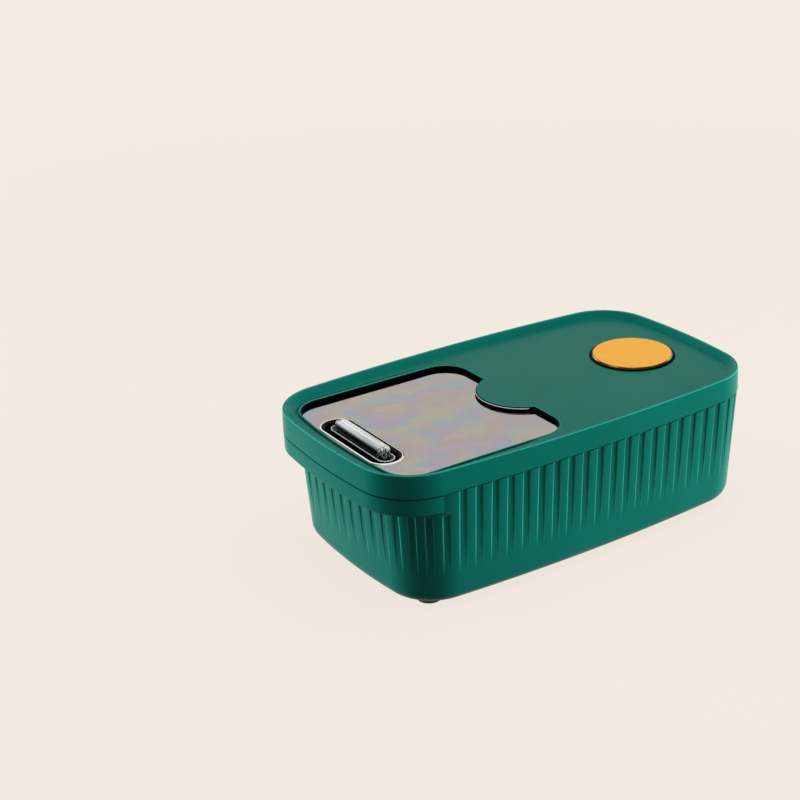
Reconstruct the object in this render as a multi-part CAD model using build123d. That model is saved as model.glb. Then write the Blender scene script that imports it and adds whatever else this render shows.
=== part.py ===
from build123d import *
import math
import os

# Rice storage bin with a sliding pour window.
# Millimetres, +Z up, the front with its pull lip towards -Y, and the origin on the floor under
# the middle of the lid.

# Overall sizes of the closed bin
overall_length = 395.0
overall_width = 225.0
overall_height = 130.0

# Plan of the lid: four bowed sides with round corners
plan_corner_radius = 51.0
long_side_bow = 10.0
end_bow = 9.0

# Lid cover: skirt, raised rim and sunk deck
lid_band_height = 20.5
lid_draft = 0.6
skirt_wall = 1.7
rim_crest_width = 2.4
rim_slope_width = 6.7
rim_wall = 2.0
rim_rounding = 0.9
deck_depth = 6.0
deck_thickness = 2.0
seal_channel_height = 4.1

# Window cut-out in the deck
cutout_side_inset = 22.5
cutout_front_inset = 18.0
cutout_front_radius = 26.0
cutout_rear_radius = 25.0
cutout_rounding = 0.7
tongue_reach = 25.5
tongue_half_width = 37.8

# Tub: drafted ribbed walls, floor and neck
parting_inset = 0.4
tub_wall = 3.8
floor_thickness = 3.0
wall_draft_angle = 3.6
bottom_rounding = 12.0
front_setback = 14.8
neck_wall = 1.6
neck_height = 12.0

# Grooves between the ribs
groove_pitch = 15.2
groove_width = 6.6
groove_depth = 1.7
groove_end_height = 36.0

# Front pull lip
lip_height = 15.5
lip_inset = 0.3
lip_wall = 2.4
lip_shelf = 2.5
lip_length = 50.5
lip_strip_length = 16.0
lip_strip_drop = 5.0

# Feet
foot_radius = 11.0
foot_drop = 4.5
foot_seat_depth = 1.2
foot_rounding = 1.0
foot_side_inset = 39.0
foot_front_inset = 53.5
foot_rear_inset = 40.5

# Window panel and the frame that it runs in
bezel_thickness = 1.7
bezel_show = 0.5
panel_thickness = 2.0
panel_tuck = 2.0
panel_rear_tuck = 10.2
panel_rear_radius = 4.0
window_travel = 85.0
runner_ledge = 2.0
runner_ledge_width = 6.0
runner_wall = 1.8
runner_cross_bar = 9.0
runner_stop = 2.0
frame_collar_gap = 1.1

# Window seal set in the ledge
window_seal_width = 2.0
window_seal_height = 1.4
window_seal_margin = 1.2

# Frame screws and their bosses
screw_shank_radius = 1.4
screw_head_radius = 2.5
screw_head_height = 1.6
screw_length = 6.0
boss_radius = 2.6
tab_margin = 0.4
screw_gap = 0.2
screw_front_inset = 102.5
screw_rear_margin = 33.0
screw_row_count = 3

# Finger grip in the window panel
grip_length = 103.0
grip_width = 30.3
grip_front_margin = 6.0
grip_rim_height = 0.7
grip_rim_width = 1.8
grip_depth = 7.0
grip_wall = 1.5
fin_length = 75.0
fin_width = 9.0
fin_rise = 7.0
fin_rounding = 1.2

# Repellent cup and its cap
cap_rear_inset = 65.1
cap_radius = 37.5
cap_rise = 2.4
cap_chamfer = 0.9
plug_radius = 32.8
plug_wall = 1.5
plug_depth = 5.4
cap_seal_height = 2.0
cup_ring_show = 2.0
cup_flange_rise = 0.6
cup_flange = 3.2
cup_outer_radius = 35.8
cup_wall = 1.6
cup_depth = 22.0
collar_wall = 1.8
vent_width = 3.0
vent_length = 16.0
vent_count = 12

# Fits
running_gap = 0.3
seat_gap = 0.2
overrun = 2.0

# Levels worked out from the sizes above
half_length = overall_length / 2
half_width = overall_width / 2
parting_z = overall_height - lid_band_height
deck_z = overall_height - deck_depth
deck_under_z = deck_z - deck_thickness
panel_top_z = deck_under_z - bezel_thickness - running_gap
panel_under_z = panel_top_z - panel_thickness
ledge_top_z = panel_under_z - running_gap
ledge_under_z = ledge_top_z - runner_ledge
neck_top_z = parting_z + neck_height
channel_roof_z = deck_under_z + seal_channel_height
floor_z = foot_drop + floor_thickness
channel_inset = skirt_wall + lid_draft
neck_inset = channel_inset + running_gap
lip_under_z = parting_z - lip_height

# Places along and across the bin, from its ends and sides
lip_end_y = lip_length - half_length
lip_strip_end_y = lip_end_y + lip_strip_length
foot_x = half_width - foot_side_inset
foot_front_y = foot_front_inset - half_length
foot_rear_y = half_length - foot_rear_inset
cap_centre_y = half_length - cap_rear_inset
cap_hole_radius = cap_radius + cup_ring_show
collar_radius = cap_hole_radius + collar_wall
frame_rear_y = cap_centre_y - collar_radius - frame_collar_gap - runner_stop
panel_rear_y = frame_rear_y - running_gap - window_travel
cutout_rear_y = panel_rear_y - panel_rear_tuck
cutout_half_width = half_width - cutout_side_inset
frame_margin = panel_tuck + running_gap
frame_half_width = cutout_half_width + frame_margin + runner_wall
screw_x = frame_half_width + boss_radius + screw_gap
screw_first_y = screw_front_inset - half_length
screw_last_y = frame_rear_y - screw_rear_margin
screw_pitch = (screw_last_y - screw_first_y) / (screw_row_count - 1)

# Sloped inner side of the rim and the seal channel under it
crest_inset = lid_draft + rim_crest_width
deck_inset = crest_inset + rim_slope_width
slope_run = rim_slope_width / deck_depth
slope_under_inset = deck_inset + deck_thickness * slope_run - rim_wall * math.hypot(1, slope_run)
channel_roof_inset = slope_under_inset - seal_channel_height * slope_run

# Radii of the arcs that bow the long sides and the ends
corner_x = half_width - long_side_bow
corner_y = half_length - end_bow
side_arc_radius = (corner_y**2 + long_side_bow**2) / (2 * long_side_bow)
end_arc_radius = (corner_x**2 + end_bow**2) / (2 * end_bow)


def crossing(centre_a, radius_a, centre_b, radius_b, towards):
    """Crossing point of two circles that lies furthest along the direction given."""
    gap = centre_b - centre_a
    along = (radius_a**2 - radius_b**2 + gap.length**2) / (2 * gap.length)
    rise = math.sqrt(radius_a**2 - along**2)
    way = gap.normalized()
    square = Vector(-way.Y, way.X)
    foot = centre_a + way * along
    return max((foot + square * rise, foot - square * rise), key=lambda point: point.dot(towards))


def bowed_plan(inset, setback=0):
    """Plan of the bin, drawn in by inset, with its front arc moved back by setback."""
    side_centre = Vector(half_width - side_arc_radius, 0)
    rear_centre = Vector(0, half_length - end_arc_radius)
    front_centre = Vector(0, setback - half_length + end_arc_radius)
    side_radius = side_arc_radius - inset
    end_radius = end_arc_radius - inset
    rear = crossing(side_centre, side_radius, rear_centre, end_radius, Vector(1, 1))
    front = crossing(side_centre, side_radius, front_centre, end_radius, Vector(1, -1))
    rear_left = Vector(-rear.X, rear.Y)
    front_left = Vector(-front.X, front.Y)
    right_mid = Vector(half_width - inset, 0)
    rear_mid = Vector(0, half_length - inset)
    front_mid = Vector(0, setback + inset - half_length)
    outline = make_face([
        ThreePointArc(front, right_mid, rear),
        ThreePointArc(rear, rear_mid, rear_left),
        ThreePointArc(rear_left, Vector(-right_mid.X, 0), front_left),
        ThreePointArc(front_left, front_mid, front),
    ])
    return fillet(outline.vertices(), plan_corner_radius - inset)


def prism(inset, low_z, high_z):
    """Upright block on the plan drawn in by inset."""
    return extrude(Pos(0, 0, low_z) * bowed_plan(inset), high_z - low_z)


def frustum(low_inset, low_z, high_inset, high_z):
    """Block whose plan draws in evenly from one level to another."""
    low = Pos(0, 0, low_z) * bowed_plan(low_inset)
    high = Pos(0, 0, high_z) * bowed_plan(high_inset)
    return loft([low, high], ruled=True)


def wall_inset(level):
    """How far the tub's drafted wall stands inside the lid's plan at a level."""
    return parting_inset + (parting_z - level) * math.tan(math.radians(wall_draft_angle))


def drafted_block(extra_inset, low_z, rounding):
    """Tapered block in the tub's plan, from the parting level down to low_z, with a round bottom edge."""
    top = Pos(0, 0, parting_z) * bowed_plan(parting_inset + extra_inset, front_setback)
    bottom = Pos(0, 0, low_z) * bowed_plan(wall_inset(low_z) + extra_inset, front_setback)
    block = loft([bottom, top], ruled=True)
    return fillet(block.faces().sort_by(Axis.Z)[0].edges(), rounding)


def front_of(y):
    """Block that covers everything in front of a place along the bin."""
    depth = half_length + overrun + y
    return Pos(0, y - depth / 2, overall_height / 2) * Box(overall_width, depth, overall_height)


def groove_cutters():
    """Wedges that cut the grooves between the ribs and run out above the rounded bottom."""
    rim = bowed_plan(parting_inset, front_setback).wire()
    front_middle = Vector(0, front_setback + parting_inset - half_length)
    first_share = rim.param_at_point(front_middle)
    count = round(rim.length / groove_pitch)
    run_out = parting_inset - wall_inset(groove_end_height)
    lean = (groove_depth + run_out) / (parting_z - groove_end_height)
    cutters = []
    for step in range(count):
        share = (first_share + step / count) % 1
        place = rim.position_at(share)
        along = rim.tangent_at(share)
        out = Vector(along.Y, -along.X)
        top_z = parting_z if place.Y > lip_strip_end_y else lip_under_z - lip_strip_drop
        wedge = Polyline(
            (lean * (parting_z - top_z) - groove_depth, top_z),
            (run_out, groove_end_height),
            (overrun, groove_end_height),
            (overrun, top_z),
            close=True,
        )
        section = Plane(origin=(place.X, place.Y, 0), x_dir=out, z_dir=-along)
        profile = section * make_face(wedge)
        cutters.append(extrude(profile, groove_width / 2, both=True))
    return cutters


def foot_places():
    """Names and places of the four feet."""
    for end, y in (("front", foot_front_y), ("rear", foot_rear_y)):
        for side, x in (("left", -foot_x), ("right", foot_x)):
            yield f"foot_{end}_{side}", x, y


def make_tub():
    """Tub with drafted ribbed walls, a neck that the lid goes over and a pull lip across the front."""
    outside = drafted_block(0, foot_drop, bottom_rounding)
    outside -= groove_cutters()
    lip = prism(lip_inset, lip_under_z, parting_z)
    lip -= prism(lip_inset + lip_wall, lip_under_z, parting_z - lip_shelf)
    lip &= front_of(lip_end_y)
    neck = prism(neck_inset, parting_z, neck_top_z)
    neck -= prism(neck_inset + neck_wall, parting_z, neck_top_z)
    inside_rounding = bottom_rounding - floor_thickness
    inside = drafted_block(tub_wall, floor_z, inside_rounding)
    tub = outside + lip - inside + neck
    for _, x, y in foot_places():
        seat = Cylinder(foot_radius + seat_gap, foot_seat_depth)
        tub -= Pos(x, y, foot_drop + foot_seat_depth / 2) * seat
    return tub


def make_foot(x, y):
    """Round pad with a soft lower edge, seated in the floor."""
    height = foot_drop + foot_seat_depth
    pad = Pos(x, y, height / 2) * Cylinder(foot_radius, height)
    return fillet(pad.edges().group_by(Axis.Z)[0], foot_rounding)


tongue_radius = (tongue_half_width**2 + tongue_reach**2) / (2 * tongue_reach)
tongue_centre_y = cutout_rear_y - tongue_reach + tongue_radius


def window_plan(margin, rear_y, rear_radius):
    """Straight-sided plan with a bowed front, larger than the cut-out by margin."""
    side_x = cutout_half_width + margin
    front_centre_y = end_arc_radius - half_length
    front_radius = end_arc_radius - cutout_front_inset + margin
    front_corner_y = front_centre_y - math.sqrt(front_radius**2 - side_x**2)
    rear_right = Vector(side_x, rear_y)
    rear_left = Vector(-side_x, rear_y)
    front_right = Vector(side_x, front_corner_y)
    front_left = Vector(-side_x, front_corner_y)
    outline = make_face([
        Line(front_right, rear_right),
        Line(rear_right, rear_left),
        Line(rear_left, front_left),
        ThreePointArc(front_left, Vector(0, front_centre_y - front_radius), front_right),
    ])
    corners = outline.vertices().group_by(Axis.Y)
    outline = fillet(corners[0], cutout_front_radius + margin)
    return fillet(outline.vertices().group_by(Axis.Y)[-1], rear_radius)


def cutout_plan(shrink):
    """Window cut-out with the half-round tongue reaching into its rear edge."""
    opening = window_plan(-shrink, cutout_rear_y - shrink, cutout_rear_radius - shrink)
    return opening - Pos(0, tongue_centre_y) * Circle(tongue_radius + shrink)


def slab(plan, low_z, high_z):
    """Plan raised into a slab between two levels."""
    return extrude(Pos(0, 0, low_z) * plan, high_z - low_z)


cup_hole_radius = cup_outer_radius + running_gap
flange_top_z = deck_z + cup_flange_rise
flange_under_z = flange_top_z - cup_flange
collar_under_z = flange_under_z - collar_wall


def post(x, y, radius, low_z, high_z):
    """Round upright block between two levels."""
    return Pos(x, y, (low_z + high_z) / 2) * Cylinder(radius, high_z - low_z)


def disc(radius, low_z, high_z):
    """Round upright block at the cap's place."""
    return post(0, cap_centre_y, radius, low_z, high_z)


def screw_places():
    """Places of the screws in a row along each side of the frame."""
    rows = [screw_first_y + row * screw_pitch for row in range(screw_row_count)]
    return [(side * screw_x, y) for side in (-1, 1) for y in rows]


def make_lid_cover():
    """Lid with a skirt, a raised rim, a sunk deck, the window cut-out and the collar of the cup."""
    cover = frustum(0, parting_z, lid_draft, overall_height)
    cover -= frustum(deck_inset, deck_z, crest_inset, overall_height)
    cover = fillet(cover.faces().sort_by(Axis.Z)[-1].edges(), rim_rounding)
    cover -= prism(channel_inset, parting_z, deck_under_z)
    channel = prism(channel_inset, deck_under_z, channel_roof_z)
    channel -= frustum(slope_under_inset, deck_under_z, channel_roof_inset, channel_roof_z)
    cover -= channel
    cover -= slab(cutout_plan(0), deck_under_z, deck_z)
    deck = cover.faces().filter_by(Axis.Z).sort_by(SortBy.AREA)[-2:].sort_by(Axis.Z)[-1]
    cover = fillet(deck.inner_wires()[0].edges(), cutout_rounding)
    cover += disc(collar_radius, collar_under_z, deck_z)
    cover -= disc(cap_hole_radius, flange_under_z, deck_z)
    cover -= disc(cup_hole_radius, collar_under_z, deck_z)
    for x, y in screw_places():
        cover += post(x, y, boss_radius, ledge_top_z, deck_under_z)
        cover -= post(x, y, screw_shank_radius, ledge_top_z, ledge_under_z + screw_length)
    return cover


def make_lid_gasket():
    """Soft ring in the channel under the rim, resting on the neck."""
    ring = prism(channel_inset + seat_gap, neck_top_z, channel_roof_z)
    return ring - prism(channel_roof_inset - seat_gap, neck_top_z, channel_roof_z)


def make_window_bezel():
    """Flat dark ring under the deck that shows as a thin line inside the cut-out."""
    low_z = deck_under_z - bezel_thickness
    ring = slab(window_plan(panel_tuck, panel_rear_y, panel_rear_radius), low_z, deck_under_z)
    return ring - slab(cutout_plan(bezel_show), low_z, deck_under_z)


def make_runner_frame():
    """Frame under the deck with a ledge and side walls that trap the sliding panel."""
    outer_plan = window_plan(frame_margin + runner_wall, frame_rear_y + runner_stop, panel_rear_radius)
    inner_plan = window_plan(frame_margin, frame_rear_y, panel_rear_radius)
    frame = slab(outer_plan, ledge_under_z, deck_under_z) - slab(inner_plan, ledge_top_z, deck_under_z)
    pour_rear_y = cutout_rear_y - panel_tuck
    frame -= slab(window_plan(panel_tuck - runner_ledge_width, pour_rear_y, panel_rear_radius),
                  ledge_under_z, ledge_top_z)
    bay_front_y = pour_rear_y + runner_cross_bar
    bay_length = frame_rear_y - runner_ledge_width - bay_front_y
    bay_half_width = cutout_half_width + panel_tuck - runner_ledge_width
    bay = RectangleRounded(2 * bay_half_width, bay_length, panel_rear_radius)
    frame -= slab(Pos(0, bay_front_y + bay_length / 2) * bay, ledge_under_z, ledge_top_z)
    tab_reach = boss_radius + tab_margin
    for x, y in screw_places():
        inner_x = math.copysign(frame_half_width - runner_wall, x)
        tab = Pos((x + inner_x) / 2, y) * Rectangle(abs(x - inner_x), 2 * tab_reach)
        frame += slab(tab, ledge_under_z, ledge_top_z)
        frame += post(x, y, tab_reach, ledge_under_z, ledge_top_z)
        frame -= post(x, y, screw_shank_radius + seat_gap, ledge_under_z, ledge_top_z)
    frame -= seal_ring(seat_gap)
    return frame


def seal_ring(gap):
    """Ring round the pour opening in the ledge, grown by a gap on both sides."""
    low_z = panel_under_z - window_seal_height
    pour_margin = panel_tuck - runner_ledge_width
    pour_rear_y = cutout_rear_y - panel_tuck
    inner = pour_margin + window_seal_margin - gap
    outer = pour_margin + window_seal_margin + window_seal_width + gap
    outer_plan = window_plan(outer, pour_rear_y + outer - pour_margin, panel_rear_radius + window_seal_width)
    inner_plan = window_plan(inner, pour_rear_y + inner - pour_margin, panel_rear_radius)
    return slab(outer_plan - inner_plan, low_z, panel_under_z)


def make_frame_screws():
    """Six pan-head screws that hold the frame to the lid's bosses."""
    head = Pos(0, 0, -screw_head_height / 2) * Cylinder(screw_head_radius, screw_head_height)
    head = fillet(head.edges().group_by(Axis.Z)[0], screw_head_height / 2)
    shank_length = screw_length - screw_gap
    screw = head + Pos(0, 0, shank_length / 2) * Cylinder(screw_shank_radius - screw_gap / 2, shank_length)
    return Compound([Pos(x, y, ledge_under_z) * screw for x, y in screw_places()])


grip_centre_y = cutout_front_inset - half_length + grip_front_margin + grip_width / 2


def stadium(length, width):
    """Flat shape with half-round ends at the grip's place."""
    return Pos(0, grip_centre_y) * SlotOverall(length, width)


def make_window_panel():
    """Flat sliding panel with a slot for the finger grip."""
    plan = window_plan(panel_tuck, panel_rear_y, panel_rear_radius)
    hole_length = grip_length - 2 * grip_rim_width
    hole_width = grip_width - 2 * grip_rim_width
    return slab(plan - stadium(hole_length, hole_width), panel_under_z, panel_top_z)


def make_window_grip():
    """Finger grip: a rim on the panel, a sunk tray and an upright hollow bar across its middle."""
    rim = slab(stadium(grip_length, grip_width), panel_top_z, panel_top_z + grip_rim_height)
    tray_length = grip_length - 2 * grip_rim_width - 2 * seat_gap
    tray_width = grip_width - 2 * grip_rim_width - 2 * seat_gap
    floor_top_z = panel_top_z - grip_depth
    floor_under_z = floor_top_z - grip_wall
    tray = slab(stadium(tray_length, tray_width), floor_under_z, panel_top_z)
    grip = rim + tray
    well = stadium(tray_length - 2 * grip_wall, tray_width - 2 * grip_wall)
    grip -= slab(well, floor_top_z, panel_top_z + grip_rim_height)
    bar_height = grip_depth + fin_rise
    bar = Pos(0, grip_centre_y, floor_top_z + bar_height / 2) * Box(fin_length, fin_width, bar_height)
    bar = fillet(bar.edges().filter_by(Axis.Z), fin_rounding)
    bar = fillet(bar.faces().sort_by(Axis.Z)[-1].edges(), fin_rounding)
    grip += bar
    hollow = Pos(0, grip_centre_y, floor_under_z + bar_height / 2) * Box(
        fin_length - 2 * grip_wall, fin_width - 2 * grip_wall, bar_height)
    return grip - hollow


def make_repellent_cup():
    """Open cup with a flange in the deck's collar and vent slots through its floor."""
    under_z = flange_top_z - cup_depth
    well_radius = cup_outer_radius - cup_wall
    cup = disc(cap_hole_radius - running_gap, flange_under_z, flange_top_z)
    cup += disc(cup_outer_radius, under_z, flange_top_z)
    cup -= disc(well_radius, under_z + cup_wall, flange_top_z)
    vent = SlotOverall(vent_length, vent_width)
    ring_radius = well_radius - vent_length / 2 - 2 * cup_wall
    vents = Sketch() + [loc * vent for loc in PolarLocations(ring_radius, vent_count)]
    cup -= extrude(Pos(0, cap_centre_y, under_z) * vents, cup_wall)
    return cup


cap_top_z = deck_z + cap_rise
cap_under_z = flange_top_z
plug_under_z = cap_under_z - plug_depth


def make_repellent_cap():
    """Flat disc with a bright chamfer and a hollow plug below it."""
    top = disc(cap_radius, cap_under_z, cap_top_z)
    top = chamfer(top.edges().group_by(Axis.Z)[-1], cap_chamfer)
    plug = disc(plug_radius, plug_under_z, cap_under_z)
    plug -= disc(plug_radius - plug_wall, plug_under_z, cap_under_z)
    return top + plug


def make_cap_seal():
    """Soft ring round the cap's plug."""
    low_z = plug_under_z + cap_seal_height / 2
    ring = disc(cup_outer_radius - cup_wall - running_gap, low_z, low_z + cap_seal_height)
    return ring - disc(plug_radius, low_z, low_z + cap_seal_height)


os.makedirs("parts", exist_ok=True)
pieces = {
    "bin_tub": make_tub(),
    "lid_cover": make_lid_cover(),
    "lid_gasket": make_lid_gasket(),
    "window_bezel": make_window_bezel(),
    "runner_frame": make_runner_frame(),
    "frame_screws": make_frame_screws(),
    "window_seal": seal_ring(0),
    "window_panel": make_window_panel(),
    "window_grip": make_window_grip(),
    "repellent_cup": make_repellent_cup(),
    "repellent_cap": make_repellent_cap(),
    "cap_seal": make_cap_seal(),
}
for name, x, y in foot_places():
    pieces[name] = make_foot(x, y)
for name, piece in pieces.items():
    export_step(piece, f"parts/{name}.step")
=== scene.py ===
import math

import bmesh
import bpy
import numpy as np
from mathutils import Matrix, Vector
from mathutils.geometry import delaunay_2d_cdt


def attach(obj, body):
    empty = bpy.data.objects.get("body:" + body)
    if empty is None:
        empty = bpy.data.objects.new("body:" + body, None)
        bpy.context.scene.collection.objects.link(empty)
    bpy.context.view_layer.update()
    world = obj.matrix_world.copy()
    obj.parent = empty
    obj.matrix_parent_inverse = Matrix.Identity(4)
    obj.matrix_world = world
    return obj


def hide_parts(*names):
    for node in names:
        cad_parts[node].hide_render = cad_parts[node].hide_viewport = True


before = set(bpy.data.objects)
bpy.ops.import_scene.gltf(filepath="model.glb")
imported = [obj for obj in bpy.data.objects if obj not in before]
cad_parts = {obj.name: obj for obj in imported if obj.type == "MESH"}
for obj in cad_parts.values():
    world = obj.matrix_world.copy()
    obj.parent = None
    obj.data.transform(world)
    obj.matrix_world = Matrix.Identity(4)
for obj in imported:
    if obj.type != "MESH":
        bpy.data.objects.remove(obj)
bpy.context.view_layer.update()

# Lengths are in millimetres and become metres when a piece is made. An inset is measured inwards from the full plan,
# and an offset outwards from the path that it belongs to.
MM = 0.001
weld_gap = 2e-6  # in metres
crease_angle = math.radians(34.0)

# Plan of the bin: bowed sides and round corners
half_length = 197.5
half_width = 112.5
plan_corner_radius = 51.0
long_side_bow = 10.0
end_bow = 9.0
side_arc_radius = ((half_length - end_bow)**2 + long_side_bow**2) / (2 * long_side_bow)
end_arc_radius = ((half_width - long_side_bow)**2 + end_bow**2) / (2 * end_bow)

# Levels
rim_z = 130.0
rim_under_z = 126.1
deck_z = 124.0
deck_under_z = 122.0
panel_top_z = 120.0
parting_z = 109.5
lip_under_z = 94.0
tub_floor_z = 7.5
tub_under_z = 4.5

# Tub wall, with a shadow groove along the parting line, whose rows take painted shade
front_setback = 14.8
parting_inset = 0.4
parting_groove_depth = 1.1
parting_groove_levels = (109.05, 108.4)
parting_groove_rows = 2
tub_wall = 3.8
wall_lean = math.tan(math.radians(3.6))
wall_rows = ((104.0, 92.0, 3), (90.5, 85.0, 8), (80.0, 18.5, 14))  # highest, lowest, count
bottom_rounding = 12.0
bottom_rows = 9
inner_rows = 6

# Upright grooves between the tub's ribs
groove_pitch = 15.2
groove_depth = 1.7
groove_mouth = 7.5
groove_bed = 5.1
groove_shoulder = 1.2
groove_foot = 0.5
groove_end_z = 36.0
groove_fade_power = 0.7
# Painted shade towards the grooves' beds and a painted highlight round their shoulders
groove_shade = 0.28
groove_shade_power = 4
shoulder_light_depth = 0.22
shoulder_light_spread = 0.3

# Pull lip, and the start of the grooves below it
lip_inset = 0.3
lip_inner_inset = 2.7
lip_groove_inset = 1.5
lip_groove_height = 0.9
lip_groove_foot = 1.5
# Depth below the parting line whose skirt rows take painted shade
lip_groove_shade = 1.2
lip_roundings = (0.1, 0.35, 0.8, 0.8)
lip_shelf_inset = 2.5
lip_shelf_z = 107.0
lip_end_y = -147.0
lip_stations = 161
lip_strip_end_y = -131.0
groove_start_z = lip_under_z - 4.0
groove_start_run = 3.0

# Neck: inset and level of its profile
neck_inset = 2.6
neck_profile = ((neck_inset, 108.0), (neck_inset, 121.0), (2.75, 121.35), (3.1, 121.5),
                (3.7, 121.5), (4.05, 121.35), (4.2, 121.0), (4.2, 108.0))
neck_stations = 560

# Lid
lid_stations = 760
lid_draft = 0.6
lid_wall = 2.3
crest_width = 2.4
# Rows near the crest's top, within this fall and reach, take a painted highlight
crest_light_fall = 0.8
crest_light_reach = 1.0
crest_flat = 0.01
rim_under_inset = 4.36
slope_under_inset = 8.94
lid_under_inset = 11.5
deck_inset = 9.7
deck_land = 0.85
lid_roundings = (0.6, 0.4, 0.4, 0.25, 0.45, 0.95, 0.95, 2.0)

# Window cut-out and its tongue
cutout_half_width = 90.0
cutout_front_inset = 18.0
cutout_rear_y = -7.5
cutout_front_radius = 26.0
cutout_rear_radius = 25.0
cutout_under_offset = 2.0
tongue_reach = 25.5
tongue_half_width = 37.8

# Trough and bead round the cut-out: offset, share of the trough's depth and share of the bead's rise
trough_rows = ((5.4, 0.0, 0.0), (4.8, 0.06, 0.0), (3.4, 0.94, 0.0), (2.7, 1.0, 0.0),
               (2.2, 1.0, 0.0), (2.0, 0.9, 0.0), (1.85, 0.1, 0.6), (1.6, 0.0, 1.0))
trough_offset = 5.4
trough_bed_offset = 2.2
trough_gap = 1.1
trough_depth = 1.6
trough_start_y = -62.0
trough_end_y = -34.0
bead_rise = 0.25
bead_rounding = 0.6
bead_rows = 7

# Collar of the cap's hole, and the bosses for the frame's screws
cap_y = 132.4
cap_hole_radius = 39.5
collar_land = 1.0
collar_seat_z = 121.4
collar_bore = 36.1
collar_radius = 41.3
collar_under_z = 119.6
boss_radius = 2.6
boss_pole = 0.001
boss_under_z = 117.7
boss_top_z = 122.4
boss_x = 96.9
boss_ys = (-95.0, -20.0, 55.0)

# Bezel: a flange under the deck, an upstand and a polished bead
bezel_margin = 2.0
bezel_under_z = 120.3
bezel_over_z = 121.95
bezel_inner_offset = 0.6
upstand_offset = -0.5
upstand_top = ((upstand_offset, 123.4), (-0.32, 123.6), (-0.06, 123.6), (-0.06, bezel_over_z),
               (bezel_inner_offset, bezel_over_z))
polish_z = 122.3
polish_half_height = 0.6
polish_size = 0.9
polish_rows = 9
polish_run = 8.0
polish_share = 0.3
polish_strips = (6, 9)
panel_rear_y = 2.7
panel_rear_radius = 4.0

# Finger grip
grip_y = -158.35
grip_length = 103.0
grip_width = 30.3
rim_offset = 1.2
rim_crest_z = 120.7
# Offsets of the painted highlight line across the rim's crest, which is widened outwards except at the rear
rim_line_outer = 0.3
rim_line_inner = -0.4
rim_rear_turn = 0.75
tray_edge = (-1.6, 120.3)
tray_floor_z = 113.0
tray_under_z = 111.5
tray_under_offset = -2.0
island_length = 88.0
island_width = 15.4
island_shift = 1.25
island_line_z = 118.1
island_top_z = 118.7
island_line_width = 0.85
bar_length = 75.0
bar_width = 11.7
bar_corner = 4.3
bar_shift = 1.35
bar_foot_z = 118.5
bar_middle_z = 121.0
bar_shoulder_z = 123.8
bar_top_z = 127.0
bar_crest_inset = 3.2
bar_crest_rounding = 2.7

# Gold cap
cap_top_z = 126.4
cap_disc_radius = 36.0
cap_under_z = 124.65
cap_pole = 0.01
plug_radius = 32.8
plug_inner_radius = 31.3
plug_under_z = 119.2
cap_stations = 200


def corner_centre(side_centre, end_centre, towards):
    """Centre of the corner circle.

    It is where circles of radius side - corner and end - corner about the two centres cross.
    """
    gap = end_centre - side_centre
    length = np.hypot(*gap)
    near = side_arc_radius - plan_corner_radius
    far = end_arc_radius - plan_corner_radius
    along = (near**2 - far**2 + length**2) / (2 * length)
    rise = math.sqrt(near**2 - along**2)
    way = gap / length
    square = np.array([-way[1], way[0]])
    foot = side_centre + way * along
    return max((foot + square * rise, foot - square * rise), key=lambda p: p @ np.array(towards))


def plan_line(stations, setback, base):
    """Plan of the bin as centre, radius and way out at stations along it, and its whole length.

    A station is the distance from the middle of the front, anticlockwise, along the plan drawn in by base. The right
    half is five arcs (front, corner, side, corner, rear): angle = start + (station - arc start) / (radius - base).
    The left half is its mirror image. A point at any inset is centre + (radius - inset) * way.
    """
    side = np.array([half_width - side_arc_radius, 0.0])
    front = np.array([0.0, setback - half_length + end_arc_radius])
    rear = np.array([0.0, half_length - end_arc_radius])
    front_corner = corner_centre(side, front, (1, -1))
    rear_corner = corner_centre(side, rear, (1, 1))
    centres = np.array([front, front_corner, side, rear_corner, rear])
    radii = np.array([end_arc_radius, plan_corner_radius, side_arc_radius, plan_corner_radius, end_arc_radius])
    turns = [-math.pi / 2]
    for corner, centre in ((front_corner, front), (front_corner, side), (rear_corner, side), (rear_corner, rear)):
        turns.append(math.atan2(*(corner - centre)[::-1]))
    turns = np.array(turns + [math.pi / 2])
    starts = np.concatenate([[0.0], np.cumsum(np.diff(turns) * (radii - base))])
    whole = 2 * starts[-1]
    place = np.mod(stations, whole)
    mirrored = place > starts[-1]
    place = np.where(mirrored, whole - place, place)
    arc = np.clip(np.searchsorted(starts, place, side="right") - 1, 0, len(radii) - 1)
    angle = turns[arc] + (place - starts[arc]) / (radii[arc] - base)
    flip = np.stack([np.where(mirrored, -1.0, 1.0), np.ones_like(place)], axis=-1)
    way = np.stack([np.cos(angle), np.sin(angle)], axis=-1) * flip
    return centres[arc] * flip, radii[arc], way, whole


def plan_all_round(count, base):
    """The full plan drawn in by base, at evenly spaced stations."""
    whole = plan_line(np.zeros(1), 0.0, base)[3]
    return plan_line(np.linspace(0, whole, count, endpoint=False), 0.0, base)


def plan_inset(points):
    """How far points lie inside the full plan.

    It is the least of radius - distance over the side's and the end's arcs, or the corner's within its sweep.
    """
    spots = np.abs(points) * (1, -1)
    side = np.array([half_width - side_arc_radius, 0.0])
    front = np.array([0.0, end_arc_radius - half_length])
    corner = corner_centre(side, front, (1, -1))
    arcs = ((side, side_arc_radius), (front, end_arc_radius), (corner, plan_corner_radius))
    to_side, to_front, to_corner = (radius - np.linalg.norm(spots - centre, axis=1) for centre, radius in arcs)
    turn = np.arctan2(*(spots - corner).T[::-1])
    first, last = (math.atan2(*(corner - centre)[::-1]) for centre in (front, side))
    return np.where((turn > first) & (turn < last), to_corner, np.minimum(to_side, to_front))


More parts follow.
